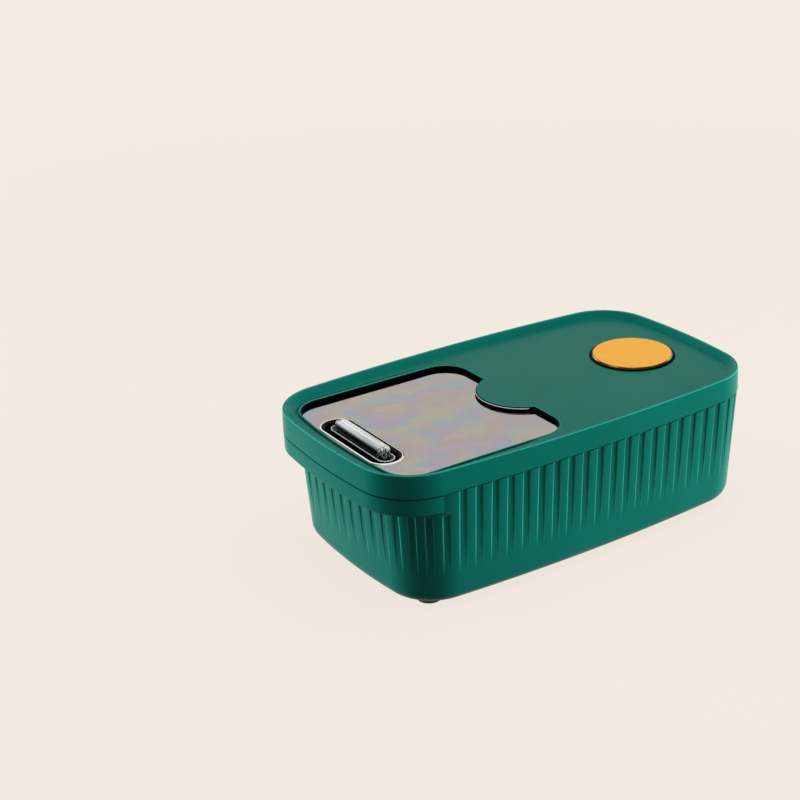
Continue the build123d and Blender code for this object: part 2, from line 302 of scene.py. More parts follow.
def carried(line, insets, levels):
    """Rows of points carried round a plan line: (centre + (radius - inset) * way, level)."""
    centres, radii, way, _ = line
    insets, levels = np.broadcast_arrays(insets, levels)
    insets = np.broadcast_to(insets, (len(insets), len(radii)))
    levels = np.broadcast_to(levels, insets.shape)
    flat = centres[None] + (radii[None] - insets)[..., None] * way[None]
    return np.concatenate([flat, levels[..., None]], axis=-1)


def column(values):
    """A list of row values as an upright column that spreads over all stations."""
    return np.asarray(values, float)[:, None]


def station_of_y(setback, base, y):
    """Station on the front right of the plan line where it reaches y, read off a fine row of stations."""
    fine = np.linspace(0, 260, 5201)
    centres, radii, way, _ = plan_line(fine, setback, base)
    ys = centres[:, 1] + (radii - base) * way[:, 1]
    return float(np.interp(y, ys, fine))


def rounded_profile(points, radii, steps):
    """Open profile with its inner corners rounded: each corner becomes an arc of its radius, tangent to both runs."""
    points = np.asarray(points, float)
    out = [points[:1]]
    for before, corner, after, radius in zip(points[:-2], points[1:-1], points[2:], radii):
        if radius == 0:
            out.append(corner[None])
            continue
        way_in = (before - corner) / np.linalg.norm(before - corner)
        way_out = (after - corner) / np.linalg.norm(after - corner)
        half = math.acos(np.clip(way_in @ way_out, -1, 1)) / 2
        middle = (way_in + way_out) / np.linalg.norm(way_in + way_out)
        centre = corner + middle * radius / math.sin(half)
        first = corner + way_in * radius / math.tan(half) - centre
        last = corner + way_out * radius / math.tan(half) - centre
        sweep = math.pi - 2 * half
        share = np.linspace(0, 1, steps + 1)[:, None]
        arc = (np.sin((1 - share) * sweep) * first + np.sin(share * sweep) * last) / math.sin(sweep)
        out.append(centre + arc)
    out.append(points[-1:])
    return np.concatenate(out)


def grid_block(points, round_columns=True, round_rows=False):
    """Points of a grid, row by row, with its four-sided faces, closed round its columns or rows where asked."""
    rows, columns = points.shape[:2]
    row = np.arange(rows if round_rows else rows - 1)[:, None]
    col = np.arange(columns if round_columns else columns - 1)[None]
    here, above = row * columns, (row + 1) % rows * columns
    after = (col + 1) % columns
    corners = np.broadcast_arrays(here + col, here + after, above + after, above + col)
    return points.reshape(-1, 3), np.stack(corners, axis=-1).reshape(-1, 4)


def cap_block(ring):
    """One flat many-sided face over a ring of points."""
    return ring, np.arange(len(ring))[None]


def inside_loop(points, loop):
    """Whether each point lies inside a closed loop: an odd number of the loop's edges cross the ray to its right."""
    x, y = points[:, 0, None], points[:, 1, None]
    x0, y0 = loop[None, :, 0], loop[None, :, 1]
    x1, y1 = np.roll(x0, -1, axis=1), np.roll(y0, -1, axis=1)
    spans = (y0 > y) != (y1 > y)
    rise = np.where(y1 == y0, 1.0, y1 - y0)
    crossing = x0 + (y - y0) / rise * (x1 - x0)
    return ((spans & (x < crossing)).sum(axis=1) % 2) == 1


def sheet_block(outer, holes, level):
    """Flat sheet between an outer ring and the rings of its holes, cut into triangles."""
    loops = [ring[:, :2] for ring in (outer, *holes)]
    edges = []
    start = 0
    for loop in loops:
        index = np.arange(len(loop))
        edges += np.stack([index + start, (index + 1) % len(loop) + start], axis=-1).tolist()
        start += len(loop)
    corners = [Vector(p) for p in np.concatenate(loops).tolist()]
    spots, _, faces, *_ = delaunay_2d_cdt(corners, edges, [], 1, 1e-7)
    spots = np.array([tuple(p) for p in spots])
    faces = np.array(faces)
    middles = spots[faces].mean(axis=1)
    keep = inside_loop(middles, loops[0])
    for hole in loops[1:]:
        keep &= ~inside_loop(middles, hole)
    return np.column_stack([spots, np.full(len(spots), level)]), faces[keep]


def path_offsets(path):
    """Mitred way out of a closed anticlockwise path at each of its points."""
    run = np.roll(path, -1, axis=0) - path
    run /= np.linalg.norm(run, axis=1)[:, None]
    out = np.stack([run[:, 1], -run[:, 0]], axis=-1)
    before = np.roll(out, 1, axis=0)
    return (out + before) / (1 + (out * before).sum(axis=1))[:, None]


def along_path(path, offsets, levels):
    """Rows of points beside a closed path: (path + offset * mitred way out, level).

    The offsets are given by row, or by row and point.
    """
    flat = path[None] + np.asarray(offsets, float).reshape(len(offsets), -1, 1) * path_offsets(path)[None]
    rise = np.broadcast_to(np.asarray(levels, float)[:, None, None], flat.shape[:2] + (1,))
    return np.concatenate([flat, rise], axis=-1)


def profile_along(path, profile):
    """Rows of points of a profile of (offset, level) beside a closed path."""
    offsets, levels = np.asarray(profile, float).T
    return along_path(path, offsets, levels)


def arc_points(centre, radius, start, end, count):
    """Points on an arc, from one angle to another in degrees."""
    angle = np.radians(np.linspace(start, end, count))
    return np.stack([centre[0] + radius * np.cos(angle), centre[1] + radius * np.sin(angle)], axis=-1)


def turned(profile, centre, count):
    """Profile of (radius, level) turned about an upright axis through centre."""
    angle = np.linspace(0, 2 * math.pi, count, endpoint=False)
    profile = np.asarray(profile, float)
    x = centre[0] + profile[:, :1] * np.cos(angle)
    y = centre[1] + profile[:, :1] * np.sin(angle)
    return np.stack([x, y, np.broadcast_to(profile[:, 1:], x.shape)], axis=-1)


def smooth_step(share):
    """Smooth rise from 0 to 1: s * s * (3 - 2 s), with s held between 0 and 1."""
    share = np.clip(share, 0, 1)
    return share * share * (3 - 2 * share)


def make_piece(name, body, blocks, materials, nodes=()):
    """One mesh object in metres from blocks, with closed seams and outward faces.

    A block is points and faces, then the faces' material numbers and the points' painted light (a painted highlight
    above 0, painted shade below 0), which are 0 if left out.
    """
    points = np.concatenate([block[0] for block in blocks]) * MM
    faces, paints, lights = [], [], []
    start = 0
    for spots, corners, *finish in blocks:
        paint, painted_light = (*finish, *(0, 0.0)[len(finish):])
        faces += (corners + start).tolist()
        paints += np.broadcast_to(paint, len(corners)).tolist()
        lights += np.broadcast_to(painted_light, len(spots)).tolist()
        start += len(spots)
    mesh = bpy.data.meshes.new(name)
    mesh.from_pydata(points.tolist(), [], faces)
    mesh.polygons.foreach_set("material_index", paints)
    mesh.attributes.new("painted_light", "FLOAT", "POINT").data.foreach_set("value", lights)
    shape = bmesh.new()
    shape.from_mesh(mesh)
    bmesh.ops.remove_doubles(shape, verts=shape.verts, dist=weld_gap)
    bmesh.ops.recalc_face_normals(shape, faces=shape.faces)
    shape.to_mesh(mesh)
    shape.free()
    mesh.shade_smooth()
    mesh.set_sharp_from_angle(angle=crease_angle)
    for material in materials:
        mesh.materials.append(material)
    piece = bpy.data.objects.new(name, mesh)
    bpy.context.scene.collection.objects.link(piece)
    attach(piece, body)
    if nodes:
        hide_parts(*nodes)
    return piece


def add_node(tree, kind, inputs=None, **settings):
    """A shader node with its settings and input values; an input given as a socket is linked."""
    node = tree.nodes.new(kind)
    for name, value in settings.items():
        setattr(node, name, value)
    for name, value in (inputs or {}).items():
        if isinstance(value, bpy.types.NodeSocket):
            tree.links.new(value, node.inputs[name])
        else:
            node.inputs[name].default_value = value
    return node


def new_material(name, **values):
    """A material with a Principled shader, its shader's plain values and the object's own coordinates."""
    material = bpy.data.materials.new(name)
    material.use_nodes = True
    tree = material.node_tree
    shader = tree.nodes["Principled BSDF"]
    for socket, value in values.items():
        shader.inputs[socket.replace("_", " ")].default_value = value
    place = add_node(tree, "ShaderNodeTexCoord").outputs["Object"]
    return material, tree, shader, place


def reckon(tree, operation, *values):
    """Sum, product or other operation on values or sockets."""
    return add_node(tree, "ShaderNodeMath", dict(enumerate(values)), operation=operation).outputs[0]


def noise(tree, place, scale, detail, distortion=0.0):
    """Noise over the object's own coordinates, with scale in cells per metre."""
    inputs = {"Vector": place, "Scale": scale, "Detail": detail, "Distortion": distortion}
    return add_node(tree, "ShaderNodeTexNoise", inputs).outputs["Fac"]


def spread(tree, value, low, high, bottom=0.3, top=0.7):
    """Maps a value from bottom .. top, which is the usual span of noise, to low .. high."""
    inputs = {"Value": value, "From Min": bottom, "From Max": top, "To Min": low, "To Max": high}
    return add_node(tree, "ShaderNodeMapRange", inputs).outputs["Result"]


def tint(tree, value, *colours):
    """Colour ramp over a value, evenly spaced through the colours."""
    ramp = add_node(tree, "ShaderNodeValToRGB", {"Fac": value})
    stops = ramp.color_ramp.elements
    while len(stops) < len(colours):
        stops.new(1.0)
    for index, colour in enumerate(colours):
        stops[index].position = index / (len(colours) - 1)
        stops[index].color = (*colour, 1.0)
    return ramp.outputs["Color"]


def blend(tree, share, colour, towards):
    """Mix of a colour socket towards another colour, by a share that is held between 0 and 1.

    A colour Mix node has its factor at input 0, its colours at inputs 6 and 7 and its result at output 2.
    """
    return add_node(tree, "ShaderNodeMix", {0: share, 6: colour, 7: towards}, data_type="RGBA").outputs[2]


def add_bump(tree, shader, height, strength, distance):
    """Bump of a height over the surface, with distance in metres."""
    bump = add_node(tree, "ShaderNodeBump", {"Height": height, "Strength": strength, "Distance": distance})
    tree.links.new(bump.outputs["Normal"], shader.inputs["Normal"])


def seen_share(tree):
    """1 for rays from the camera, off a gloss or through clear parts, and 0 for the light that falls on the bin."""
    path = add_node(tree, "ShaderNodeLightPath").outputs
    seen = reckon(tree, "MAXIMUM", path["Is Camera Ray"], path["Is Glossy Ray"])
    return reckon(tree, "MAXIMUM", seen, path["Is Transmission Ray"])


def moulded_plastic(name, darker, lighter, gloss, grain, painted_highlight=None, **values):
    """Moulded plastic: slow mottling between two colours, uneven gloss and a fine grain.

    The gloss is its span of roughness, and the grain its cells per metre and its strength. Where a painted highlight
    colour is given, the painted light attribute leads up to it on shoulders as a painted highlight and down to a dark
    green in grooves as painted shade.
    """
    material, tree, shader, place = new_material(name, **values)
    mottle = spread(tree, noise(tree, place, 14.0, 4.0), 0.0, 1.0)
    colour = tint(tree, mottle, darker, lighter)
    # Painted highlight on shoulders and painted shade in grooves, led by the painted light attribute
    if painted_highlight:
        edge = add_node(tree, "ShaderNodeAttribute", attribute_name="painted_light").outputs["Fac"]
        colour = blend(tree, edge, colour, (*painted_highlight, 1.0))
        colour = blend(tree, reckon(tree, "MULTIPLY", edge, -1.0), colour, (*painted_groove_shade, 1.0))
    tree.links.new(colour, shader.inputs["Base Color"])
    tree.links.new(spread(tree, noise(tree, place, 60.0, 3.0), *gloss), shader.inputs["Roughness"])
    grain_scale, grain_strength = grain
    add_bump(tree, shader, noise(tree, place, grain_scale, 3.0), grain_strength, 0.0002)
    return material


def painted_sheen_material():
    """Mirror-bright window: pale grey with a painted rainbow sheen in thin arcs about two places, wavered by slow
    noise.
    """
    # Painted rainbow sheen in rings about two places over the window
    arc_width = 0.048
    arc_centres = ((-0.035, -0.105, 0.12), (0.075, -0.075, 0.12))
    painted_rainbow_sheen = ((0.40, 0.39, 0.39), (0.445, 0.39, 0.455), (0.39, 0.38, 0.485), (0.34, 0.415, 0.495),
               (0.365, 0.45, 0.445), (0.435, 0.45, 0.39), (0.46, 0.415, 0.405), (0.40, 0.39, 0.39))
    material, tree, shader, place = new_material("window_painted_sheen", Metallic=1.0, Roughness=0.07)
    waver = spread(tree, noise(tree, place, 9.0, 3.0, 1.2), -0.03, 0.03)
    bands = []
    for centre in arc_centres:
        reach = add_node(tree, "ShaderNodeVectorMath", {0: place, 1: centre}, operation="DISTANCE").outputs["Value"]
        turns = reckon(tree, "DIVIDE", reckon(tree, "ADD", reach, waver), arc_width)
        bands.append(tint(tree, reckon(tree, "FRACT", turns), *painted_rainbow_sheen))
    cloud = spread(tree, noise(tree, place, 16.0, 2.0, 0.8), 0.0, 1.0, bottom=0.4, top=0.6)
    tree.links.new(blend(tree, cloud, *bands), shader.inputs["Base Color"])
    add_bump(tree, shader, noise(tree, place, 22.0, 1.0), 0.04, 0.001)
    return material


def gold_material():
    """Satin gold of the cap's flat top, with a faint haze."""
    material, tree, shader, place = new_material("cap_gold", Metallic=0.9)
    haze = spread(tree, noise(tree, place, 40.0, 3.0), 0.0, 1.0)
    tree.links.new(tint(tree, haze, (0.99, 0.480, 0.018), (1.0, 0.515, 0.026)), shader.inputs["Base Color"])
    tree.links.new(spread(tree, noise(tree, place, 120.0, 3.0), 0.28, 0.36), shader.inputs["Roughness"])
    return material


def bevel_material():
    """Polished bevel round the cap: metal painted with glints, dark brown that turns to bright gold and back along the
    edge.
    """
    material, tree, shader, place = new_material("cap_edge", Metallic=1.0, Roughness=0.12)
    # Painted glints: the colour swings from dark to bright gold by slow noise round the edge
    sheen = spread(tree, noise(tree, place, 42.0, 1.0), 0.0, 1.0, bottom=0.40, top=0.62)
    shade = tint(tree, sheen, (0.06, 0.022, 0.004), (0.16, 0.06, 0.008), (0.75, 0.36, 0.06), (1.0, 0.80, 0.52))
    tree.links.new(shade, shader.inputs["Base Color"])
    return material


def bar_material():
    """Clear bar of the grip: painted light, pale at its crest and dark lower down, with streaks along it and painted
    glints at its ends.
    """
    material, tree, shader, place = new_material("grip_bar", Roughness=0.2, Specular_IOR_Level=0.3)
    parts = add_node(tree, "ShaderNodeSeparateXYZ", {"Vector": place}).outputs
    # Painted light and shade by height: pale at the crest, dark lower down
    height = spread(tree, parts["Z"], 0.0, 1.0, bottom=0.1205, top=0.1270)
    shade = tint(tree, height, (0.001, 0.002, 0.003), (0.003, 0.005, 0.006), (0.07, 0.07, 0.075),
                 (0.48, 0.46, 0.48), (0.95, 0.95, 0.94))
    lengthwise = {"Vector": place, "Scale": (0.03, 1.0, 1.0)}
    stretched = add_node(tree, "ShaderNodeMapping", lengthwise).outputs["Vector"]
    streak = spread(tree, noise(tree, stretched, 480.0, 1.0), 0.42, 1.25)
    scaled = {0: shade, "Scale": streak}
    streaked = add_node(tree, "ShaderNodeVectorMath", scaled, operation="SCALE").outputs["Vector"]
    # Painted glints near the bar's two ends
    at_ends = spread(tree, reckon(tree, "ABSOLUTE", parts["X"]), 0.0, 0.8, bottom=0.0310, top=0.0345)
    glint = spread(tree, noise(tree, place, 620.0, 1.0), 0.0, 1.0, bottom=0.46, top=0.56)
    glints = tint(tree, glint, (0.01, 0.01, 0.01), (0.95, 0.95, 0.95))
    tree.links.new(blend(tree, at_ends, streaked, glints), shader.inputs["Base Color"])
    return material


# Finishes
# Dark green of the painted shade in the ribs' grooves and the shadow grooves
painted_groove_shade = (0.0, 0.012, 0.009)
shell_finish = {"darker": (0.0012, 0.152, 0.114), "lighter": (0.0018, 0.168, 0.127),
                "gloss": (0.24, 0.32), "grain": (1800.0, 0.03), "Specular_IOR_Level": 0.05}
green_plastic = moulded_plastic("shell_green", **shell_finish)
# Ribbed green with a painted highlight on shoulders and painted shade in grooves
green_ribbed = moulded_plastic("shell_green_ribbed", painted_highlight=(0.035, 0.480, 0.375), **shell_finish)
# Lighter green painted along the lid's crest and the cut-out's bead as a painted highlight
painted_edge_highlight = moulded_plastic("shell_green_painted_highlight", (0.028, 0.330, 0.258), (0.034, 0.360, 0.284),
                             gloss=(0.35, 0.45), grain=(1800.0, 0.02), Specular_IOR_Level=0.02)
black_plastic = moulded_plastic("trim_black", (0.001, 0.001, 0.001), (0.002, 0.002, 0.002),
                                gloss=(0.22, 0.3), grain=(900.0, 0.01), Specular_IOR_Level=0.01)
bezel_polish = moulded_plastic("bezel_polish", (0.46, 0.44, 0.47), (0.64, 0.62, 0.64),
                               gloss=(0.08, 0.14), grain=(900.0, 0.01), Metallic=1.0)
frame_plastic = moulded_plastic("frame_plastic", (0.022, 0.024, 0.024), (0.034, 0.037, 0.036),
                                gloss=(0.35, 0.45), grain=(1500.0, 0.05))
foot_rubber = moulded_plastic("foot_rubber", (0.008, 0.010, 0.010), (0.014, 0.017, 0.016),
                              gloss=(0.6, 0.75), grain=(1200.0, 0.15))
seal_rubber = moulded_plastic("seal_rubber", (0.45, 0.45, 0.44), (0.52, 0.52, 0.50),
                              gloss=(0.5, 0.6), grain=(1200.0, 0.1))
screw_steel = moulded_plastic("screw_steel", (0.48, 0.48, 0.48), (0.56, 0.56, 0.55),
                              gloss=(0.25, 0.35), grain=(2200.0, 0.05), Metallic=1.0)
# Stand-ins for the grip's clear plastic: near black as painted shade of the dark bin seen through it, a white mirror
# metal and a pale white line as painted highlights
grip_painted_shade = moulded_plastic("grip_painted_shade", (0.002, 0.003, 0.003), (0.003, 0.005, 0.006),
                            gloss=(0.20, 0.28), grain=(900.0, 0.005), Specular_IOR_Level=0.06)
grip_bright = moulded_plastic("grip_bright", (0.88, 0.945, 1.0), (0.92, 0.985, 1.0),
                              gloss=(0.10, 0.16), grain=(900.0, 0.005), Metallic=1.0)
grip_painted_line = moulded_plastic("grip_painted_line", (0.84, 0.86, 0.86), (0.90, 0.92, 0.92),
                            gloss=(0.3, 0.4), grain=(900.0, 0.005), Specular_IOR_Level=0.1)
grip_bar = bar_material()
window_painted_sheen = painted_sheen_material()
cap_gold = gold_material()
cap_edge = bevel_material()
# Near black brown, painted as shade on the cap's line and slanted edge
cap_painted_shade = moulded_plastic("cap_painted_shade", (0.030, 0.010, 0.002), (0.045, 0.016, 0.003),
                             gloss=(0.2, 0.3), grain=(900.0, 0.01), Specular_IOR_Level=0.2)


def make_tub_shell():
    """Ribbed tub: inset(station, z) = parting inset + (parting z - z) * lean + depth * fade(z) * groove(station).

    The groove is a smooth step down from its mouth to its bed, the fade falls from the rim to the grooves' end, and
    grooves near the lip start below it. A quarter round leads into the bottom, and the inside runs parallel.
    """
    whole = plan_line(np.zeros(1), front_setback, parting_inset)[3]
    count = round(whole / groove_pitch)
    pitch = whole / count
    bed, mouth, land = groove_bed / 2, groove_mouth / 2, pitch / 2
    half = rounded_profile([(0.0, groove_depth), (bed, groove_depth), (mouth, 0.0), (land, 0.0)],
                           (groove_foot, groove_shoulder), 4)
    across, depth = np.concatenate([half[-2:0:-1] * (-1, 1), half]).T
    centres = np.arange(count) * pitch
    line = plan_line((centres[:, None] + across).ravel(), front_setback, parting_inset)
    groove = np.tile(depth, count)
    middle, radius, way, _ = plan_line(centres, front_setback, parting_inset)
    middle_y = middle[:, 1] + (radius - parting_inset) * way[:, 1]
    near_lip = np.repeat(middle_y <= lip_strip_end_y, len(across))

    runs = [np.linspace(*run) for run in wall_rows]
    levels = column(np.concatenate([[parting_z, *parting_groove_levels], *runs]))
    fade = np.clip((levels - groove_end_z) / (parting_z - groove_end_z), 0, 1)**groove_fade_power
    start = np.where(near_lip, smooth_step((groove_start_z - levels) / groove_start_run), 1.0)
    outer = parting_inset + (parting_z - levels) * wall_lean + fade * start * groove
    in_parting = slice(parting_groove_rows)
    outer[in_parting] = np.maximum(outer[in_parting], parting_inset + parting_groove_depth)

    lean_angle = math.atan(wall_lean)
    turn = column(np.linspace(lean_angle, math.pi / 2, bottom_rows))
    turn_z = tub_under_z + bottom_rounding
    turn_inset = parting_inset + (parting_z - turn_z) * wall_lean
    turn_share = (1 - np.cos(turn) * math.cos(lean_angle)) / math.cos(lean_angle)
    inner_radius = bottom_rounding - (tub_floor_z - tub_under_z)
    inner_levels = column(np.linspace(parting_z, turn_z, inner_rows))
    inner = parting_inset + tub_wall + (parting_z - inner_levels) * wall_lean
    outer_turn = turn_inset + turn_share * bottom_rounding
    inner_turn = turn_inset + tub_wall + turn_share * inner_radius
    outer_turn_z = turn_z - bottom_rounding * np.sin(turn)
    inner_turn_z = turn_z - inner_radius * np.sin(turn)

    blank = np.zeros_like(groove)
    insets = np.concatenate([outer_turn[::-1] + blank, outer[::-1], inner + blank, inner_turn + blank])
    heights = np.concatenate([outer_turn_z[::-1], levels[::-1], inner_levels, inner_turn_z]) + blank
    shell = carried(line, insets, heights)
    # Painted light: a painted highlight on the grooves' shoulders and painted shade deeper in them, fading with the
    # grooves; the parting groove's rows take full painted shade
    fall = groove / groove_depth
    shoulder = smooth_step(1 - np.abs(fall - shoulder_light_depth) / shoulder_light_spread) * (groove > 0)
    light = (shoulder - fall**groove_shade_power * groove_shade) * start * np.sqrt(fade)
    light[in_parting] = -1.0
    painted_light = np.zeros(heights.shape)
    painted_light[bottom_rows:bottom_rows + len(levels)] = light[::-1]
    return [(*grid_block(shell), 0, painted_light.ravel()), cap_block(shell[0]), cap_block(shell[-1])]


def make_pull_lip():
    """Front lip: its skirt follows the full plan and its shelf runs in to the set-back wall, closed at both ends."""
    share = np.linspace(-1, 1, lip_stations)
    skirt_line = plan_line(share * station_of_y(0.0, lip_inset, lip_end_y), 0.0, lip_inset)
    shelf_end = station_of_y(front_setback, lip_shelf_inset, lip_end_y)
    shelf_line = plan_line(share * shelf_end, front_setback, lip_shelf_inset)
    skirt = rounded_profile(
        [(lip_groove_inset, parting_z), (lip_groove_inset, parting_z - lip_groove_height),
         (lip_inset, parting_z - lip_groove_foot), (lip_inset, lip_under_z), (lip_inner_inset, lip_under_z),
         (lip_inner_inset, lip_shelf_z)], lip_roundings, 5)
    skirt_rows = carried(skirt_line, column(skirt[:, 0]), column(skirt[:, 1]))
    shelf_rows = carried(shelf_line, column([lip_shelf_inset] * 2), column([lip_shelf_z, parting_z]))
    band = np.concatenate([skirt_rows, shelf_rows])
    # Painted shade on the skirt's rows in its groove below the parting line
    lip_painted_shade = np.where(band[..., 2] > parting_z - lip_groove_shade, -1.0, 0.0)
    lip_painted_shade[len(skirt):] = 0.0
    return [(*grid_block(band, False, True), 0, lip_painted_shade.ravel()), cap_block(band[:, 0]), cap_block(band[:, -1])]


def make_neck():
    """Upright neck that the lid seals on, a thin rounded wall round the full plan."""
    inset, level = np.transpose(neck_profile)
    neck = carried(plan_all_round(neck_stations, neck_inset), column(inset), column(level))
    return [grid_block(neck, True, True)]


def bowed_front(margin):
    """Corner radius, reach, centre y, corner centre and lean of the bowed front edge, set out by margin."""
    corner = cutout_front_radius + margin
    reach = end_arc_radius - cutout_front_inset + margin
    centre_y = end_arc_radius - half_length
    corner_x = cutout_half_width + margin - corner
    corner_y = centre_y - math.sqrt((reach - corner)**2 - corner_x**2)
    lean = math.degrees(math.asin(corner_x / (reach - corner)))
    return corner, reach, centre_y, corner_x, corner_y, lean


def cutout_path():
    """Edge of the window cut-out, anticlockwise: bowed front, round corners and a tongue-shaped dip at the rear."""
    corner, reach, centre_y, corner_x, corner_y, lean = bowed_front(0.0)
    tongue_radius = (tongue_half_width**2 + tongue_reach**2) / (2 * tongue_reach)
    tongue_y = cutout_rear_y - tongue_reach + tongue_radius
    tongue_turn = math.degrees(math.asin(tongue_half_width / tongue_radius))
    rear = cutout_rear_radius
    rear_x, rear_y = cutout_half_width - rear, cutout_rear_y - rear
    runs = [
        arc_points((0.0, centre_y), reach, -90 - lean, -90 + lean, 40)[:-1],
        arc_points((corner_x, corner_y), corner, -90 + lean, 0, 25),
        np.linspace((cutout_half_width, corner_y), (cutout_half_width, rear_y), 30)[1:-1],
        arc_points((rear_x, rear_y), rear, 0, 90, 25),
        np.linspace((rear_x, cutout_rear_y), (tongue_half_width, cutout_rear_y), 8)[1:-1],
        arc_points((0.0, tongue_y), tongue_radius, -90 + tongue_turn, -90 - tongue_turn, 41),
        np.linspace((-tongue_half_width, cutout_rear_y), (-rear_x, cutout_rear_y), 8)[1:-1],
        arc_points((-rear_x, rear_y), rear, 90, 180, 25),
        np.linspace((-cutout_half_width, rear_y), (-cutout_half_width, corner_y), 30)[1:-1],
        arc_points((-corner_x, corner_y), corner, 180, 270 - lean, 25)[:-1],
    ]
    return np.concatenate(runs)


def window_path(margin):
    """Outline of the bezel under the deck: bowed front, round front corners, straight sides and rear."""
    corner, reach, centre_y, corner_x, corner_y, lean = bowed_front(margin)
    side = cutout_half_width + margin
    rear = panel_rear_radius
    runs = [
        arc_points((0.0, centre_y), reach, -90 - lean, -90 + lean, 40)[:-1],
        arc_points((corner_x, corner_y), corner, -90 + lean, 0, 24),
        arc_points((side - rear, panel_rear_y - rear), rear, 0, 90, 8),
        arc_points((rear - side, panel_rear_y - rear), rear, 90, 180, 8),
        arc_points((-corner_x, corner_y), corner, 180, 270 - lean, 24)[:-1],
    ]
    return np.concatenate(runs)


def make_lid_skirt():
    """Skirt, crest and slope of the lid, one profile carried round the plan, and the material numbers of its faces,
    which put a painted highlight along the crest.
    """
    line = plan_all_round(lid_stations, 0.0)
    crest_end = lid_draft + crest_width
    profile = rounded_profile(
        [(lid_under_inset, deck_under_z), (slope_under_inset, deck_under_z), (rim_under_inset, rim_under_z),
         (lid_wall, rim_under_z), (lid_wall, parting_z), (0.0, parting_z), (lid_draft, rim_z), (crest_end, rim_z),
         (deck_inset, deck_z), (deck_inset + deck_land, deck_z)], lid_roundings, 6)
    inset, level = ((profile[1:] + profile[:-1]) / 2).T
    painted_crest = (level > rim_z - crest_light_fall) & (level < rim_z - crest_flat)
    painted_crest &= inset < crest_end + crest_light_reach
    skirt = carried(line, column(profile[:, 0]), column(profile[:, 1]))
    return skirt, np.repeat(painted_crest.astype(int), lid_stations)


def make_cutout_edge():
    """Trough, bead and wall of the cut-out, and the material numbers of its faces, which put a painted highlight on
    the bead.

    Level = deck + (rise * bead - fall * trough) * share - drop. The share runs out towards the rear, and the trough
    narrows where the rim's slope comes near.
    """
    edge = cutout_path()
    offset, fall, rise = np.transpose(trough_rows)
    turn = np.radians(np.linspace(0, 90, bead_rows))
    under = np.full(2, deck_z - deck_under_z)
    offsets = column([*offset, *bead_rounding * (1 - np.sin(turn)), 0.0, cutout_under_offset])
    falls = column([*fall, *np.zeros(bead_rows + 2)])
    rises = column([*rise, *np.ones(bead_rows), 0.0, 0.0])
    drops = column([*np.zeros(len(offset)), *bead_rounding * (1 - np.cos(turn)), *under])
    share = smooth_step((trough_end_y - edge[:, 1]) / (trough_end_y - trough_start_y))[None]
    room = np.minimum(plan_inset(edge) - deck_inset - trough_gap, trough_offset)
    squeeze = (room - trough_bed_offset) / (trough_offset - trough_bed_offset)
    narrowed = trough_bed_offset + (offsets - trough_bed_offset) * squeeze
    offsets = np.where(offsets > trough_bed_offset, narrowed, offsets)
    cut = along_path(edge, offsets, np.zeros(len(offsets)))
    cut[..., 2] = deck_z + (rises * bead_rise - falls * trough_depth) * share - drops
    strip = np.arange(len(offsets) - 1)
    painted_bead = (strip >= len(offset)) & (strip < len(offset) + bead_rows - 1)
    return cut, np.repeat(painted_bead.astype(int), len(edge))


def make_lid_shell():
    """Lid: its skirt, its cut-out's edge and its cap hole's collar, joined by flat sheets, with bosses underneath."""
    skirt, skirt_paints = make_lid_skirt()
    cut, cut_paints = make_cutout_edge()
    collar = rounded_profile(
        [(cap_hole_radius + collar_land, deck_z), (cap_hole_radius, deck_z), (cap_hole_radius, collar_seat_z),
         (collar_bore, collar_seat_z), (collar_bore, collar_under_z), (collar_radius, collar_under_z),
         (collar_radius, deck_under_z), (collar_radius + collar_land, deck_under_z)],
        (0.25, 0.0, 0.0, 0.3, 0.3, 0.0), 4)
    well = turned(collar, (0.0, cap_y), 180)
    top = sheet_block(skirt[-1], [cut[0], well[0]], deck_z)
    under = sheet_block(skirt[0], [cut[-1], well[-1]], deck_under_z)
    blocks = [(*grid_block(skirt), skirt_paints), (*grid_block(cut), cut_paints), grid_block(well), top, under]
    post = rounded_profile([(boss_pole, boss_under_z), (boss_radius, boss_under_z), (boss_radius, boss_top_z),
                            (boss_pole, boss_top_z)], (0.3, 0.0), 3)
    for x in (-boss_x, boss_x):
        for y in boss_ys:
            boss = turned(post, (x, y), 32)
            blocks += [grid_block(boss), cap_block(boss[0]), cap_block(boss[-1])]
    return blocks


def make_bezel():
    """Dark ring under the deck with an upstand that lines the cut-out's edge and a polished bead along the tongue.

    The bead is a half turn t at mid height: it stands out by its size * cos(t), and its size grows along the tongue.
    """
    edge = cutout_path()
    on_tongue = (np.abs(edge[:, 0]) < tongue_half_width) & (edge[:, 1] > cutout_rear_y - tongue_reach - 1)
    share = np.where(on_tongue, smooth_step((cutout_rear_y - edge[:, 1]) / polish_run), 0.0)
    turn = np.radians(np.linspace(-90, 90, polish_rows))
    foot = [(bezel_inner_offset, bezel_under_z), (upstand_offset, bezel_under_z)]
    face = np.stack([np.full(polish_rows, upstand_offset), polish_z + polish_half_height * np.sin(turn)], axis=-1)
    offset, level = np.concatenate([foot, face, upstand_top]).T
    bulge = np.concatenate([np.zeros(len(foot)), polish_size * np.cos(turn), np.zeros(len(upstand_top))])
    band = along_path(edge, offset, level)
    band += (along_path(edge, offset - bulge, level) - band) * share[None, :, None]
    strip = np.arange(len(offset) - 1)[:, None]
    first, last = polish_strips
    polished = ((strip >= first) & (strip < last) & (share > polish_share)).astype(int).ravel()
    flange = profile_along(window_path(bezel_margin), [(0.0, bezel_under_z), (0.0, bezel_over_z)])
    under = sheet_block(flange[0], [band[0]], bezel_under_z)
    over = sheet_block(flange[1], [band[-1]], bezel_over_z)
    return [(*grid_block(band), polished), grid_block(flange), under, over]


